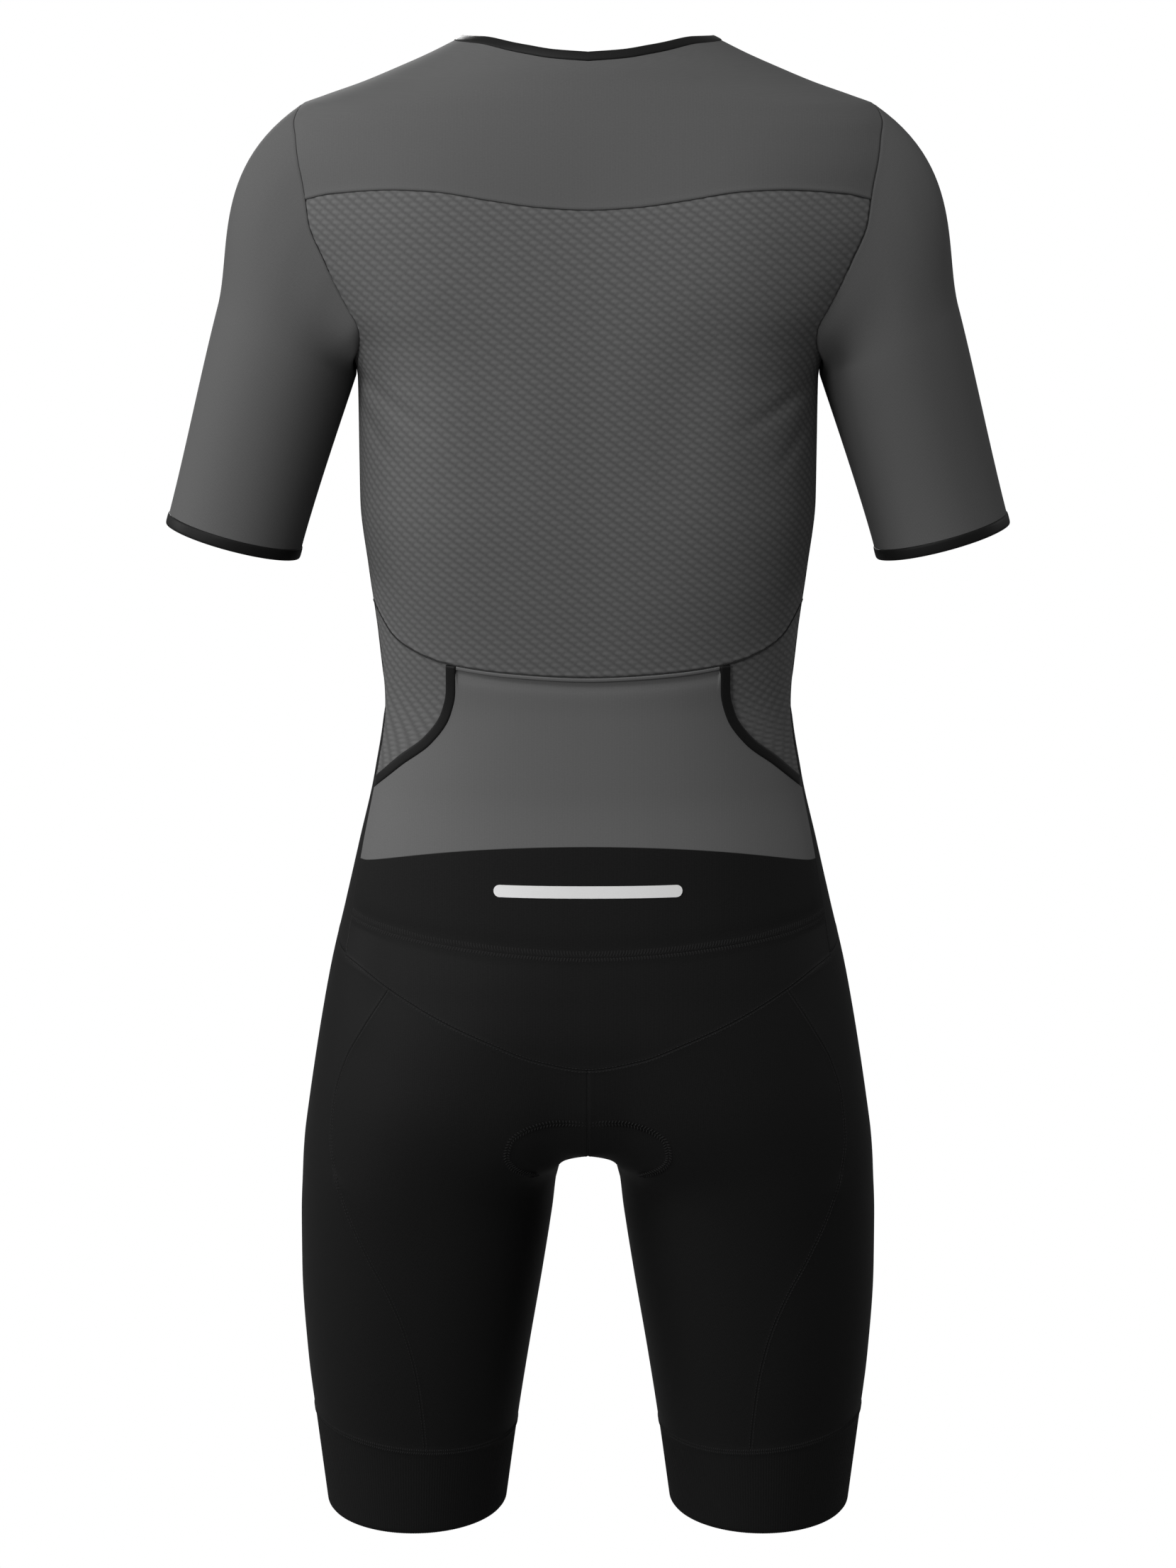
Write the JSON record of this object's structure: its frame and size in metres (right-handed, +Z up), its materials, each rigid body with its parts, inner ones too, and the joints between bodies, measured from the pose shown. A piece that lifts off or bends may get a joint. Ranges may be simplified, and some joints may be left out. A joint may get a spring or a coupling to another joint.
{
  "type": "triathlon suit",
  "caption": "One-piece short-sleeved triathlon suit, filled out to its worn form with no wearer: front zip, mesh back, curved rear pocket, fitted legs with ribbed bands.",
  "frame": {"origin": "between the wearer's shoulders, on the middle plane of the suit, level with the base of the back of the neck; the wearer holds the suit up there", "axes": "+Z up along the wearer, +X to the wearer's left, +Y to the wearer's back; the suit is symmetric about X = 0"},
  "size_m": [0.6016, 0.2293, 1.0805],
  "materials": {
    "grey_mesh": "matte raised diamond knit, mid grey",
    "grey_knit": "smooth satin stretch knit, mid grey",
    "black_knit": "smooth satin stretch knit, black",
    "black_rib": "fine vertical rib, black",
    "black_binding": "folded elastic binding, black",
    "zip_chain": "moulded polyester coil on woven tape, black",
    "zip_metal": "die-cast zinc with black satin lacquer"
  },
  "bodies": {
    "suit": {"back_yoke": "grey_knit", "back_panel": "grey_mesh", "lower_back": "grey_mesh", "pocket_panel": "grey_knit", "pocket_binding_left": "black_binding", "pocket_binding_right": "black_binding", "waist_panel": "black_knit", "front_left": "black_knit", "front_right": "black_knit", "neck_binding": "black_binding", "sleeve_left": "grey_knit", "sleeve_right": "grey_knit", "cuff_binding_left": "black_binding", "cuff_binding_right": "black_binding", "leg_back_left": "black_knit", "leg_back_right": "black_knit", "leg_front_left": "black_knit", "leg_front_right": "black_knit", "leg_band_left": "black_rib", "leg_band_right": "black_rib", "front_zip": "zip_chain", "zip_slider": "zip_metal"},
    "pull": {"zip_pull": "zip_metal"}
  },
  "joints": [
    {"name": "zip_pull_swing", "type": "hinge", "parent": "suit", "child": "pull", "pos_m": [0, -0.10862, -0.09304], "axis": [-1, 0, 0], "range_deg": [0, 165]}
  ]
}
